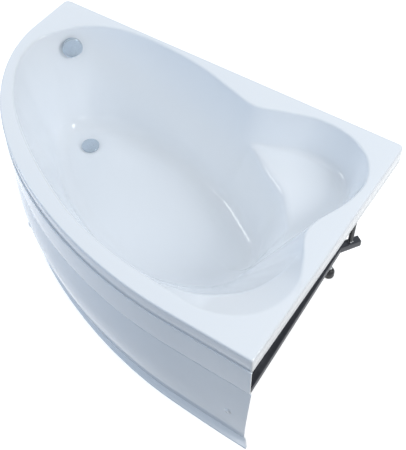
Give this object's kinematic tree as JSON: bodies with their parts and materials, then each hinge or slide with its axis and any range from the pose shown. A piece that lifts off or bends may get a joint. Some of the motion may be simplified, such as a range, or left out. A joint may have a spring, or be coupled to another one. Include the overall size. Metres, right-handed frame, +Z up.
{
  "type": "bathtub",
  "caption": "Asymmetric corner bathtub in white acrylic with a corner seat, sloping headrest, curved front panel, steel frame, levelling feet and a turn-knob waste and overflow.",
  "frame": {"origin": "Centre of the bounding box in plan, on the floor under the feet and the panel.", "axes": "+X runs along the long wall towards the seat end, +Y points at the long wall behind the bath, +Z is up."},
  "size_m": [1.5402, 1.029, 0.575],
  "materials": {
    "white_acrylic": "gloss",
    "white_plastic": "gloss",
    "board": "matt",
    "frame_steel": "satin",
    "post_black": "satin",
    "rubber_black": "matt",
    "black_plastic": "matt",
    "zinc_steel": "satin",
    "chrome": "polished",
    "grey_plastic": "matt",
    "pipe_plastic": "matt",
    "cable_black": "satin"
  },
  "bodies": {
    "bath": {"bath_shell": "white_acrylic", "base_board": "board", "front_panel": "white_acrylic", "panel_caps": "white_plastic", "panel_screws": "zinc_steel", "panel_bracket_right": "frame_steel", "panel_bracket_left": "frame_steel", "cross_rail_left": "frame_steel", "cross_rail_middle": "frame_steel", "back_rail_left": "frame_steel", "back_rail_right": "frame_steel", "front_rail_left": "frame_steel", "front_rail_right": "frame_steel", "side_rail": "frame_steel", "diagonal_rail": "frame_steel", "corner_arm": "frame_steel", "tube_caps": "black_plastic", "board_tabs": "frame_steel", "board_screws": "zinc_steel", "rim_posts": "post_black", "corner_strut": "post_black", "strut_head": "frame_steel", "post_studs": "zinc_steel", "post_nuts": "zinc_steel", "rim_blocks": "rubber_black", "foot_nuts": "zinc_steel", "waste_flange": "chrome", "waste_gasket": "rubber_black", "waste_body": "grey_plastic", "overflow_plate": "chrome", "overflow_gasket": "rubber_black", "overflow_body": "grey_plastic", "overflow_pipe": "pipe_plastic", "pull_cable": "cable_black", "trap_nut": "grey_plastic", "trap_body": "grey_plastic", "outlet_pipe": "pipe_plastic"},
    "knob": {"overflow_knob": "chrome"},
    "plug": {"plug": "chrome", "plug_seal": "rubber_black"},
    "foot_1_body": {"foot_1": "black_plastic", "foot_stud_1": "zinc_steel"},
    "foot_2_body": {"foot_2": "black_plastic", "foot_stud_2": "zinc_steel"},
    "foot_3_body": {"foot_3": "black_plastic", "foot_stud_3": "zinc_steel"},
    "foot_4_body": {"foot_4": "black_plastic", "foot_stud_4": "zinc_steel"},
    "foot_5_body": {"foot_5": "black_plastic", "foot_stud_5": "zinc_steel"},
    "foot_6_body": {"foot_6": "black_plastic", "foot_stud_6": "zinc_steel"}
  },
  "joints": [
    {"name": "knob_turn", "type": "hinge", "parent": "bath", "child": "knob", "pos_m": [-0.62159, 0.35424, 0.501], "axis": [0.7696, -0.5735, 0.2807], "range_deg": [0, 90]},
    {"name": "plug_lift", "type": "slide", "parent": "bath", "child": "plug", "axis": [0, 0, 1], "range_m": [0, 0.008]},
    {"name": "foot_1_level", "type": "slide", "parent": "bath", "child": "foot_1_body", "axis": [0, 0, 1], "range_m": [-0.02, 0.025]},
    {"name": "foot_2_level", "type": "slide", "parent": "bath", "child": "foot_2_body", "axis": [0, 0, 1], "range_m": [-0.02, 0.025]},
    {"name": "foot_3_level", "type": "slide", "parent": "bath", "child": "foot_3_body", "axis": [0, 0, 1], "range_m": [-0.02, 0.025]},
    {"name": "foot_4_level", "type": "slide", "parent": "bath", "child": "foot_4_body", "axis": [0, 0, 1], "range_m": [-0.02, 0.025]},
    {"name": "foot_5_level", "type": "slide", "parent": "bath", "child": "foot_5_body", "axis": [0, 0, 1], "range_m": [-0.02, 0.025]},
    {"name": "foot_6_level", "type": "slide", "parent": "bath", "child": "foot_6_body", "axis": [0, 0, 1], "range_m": [-0.02, 0.025]}
  ],
  "couplings": [
    {"joint": "plug_lift", "follows": "knob_turn", "m_per_rad": 0.005093}
  ]
}
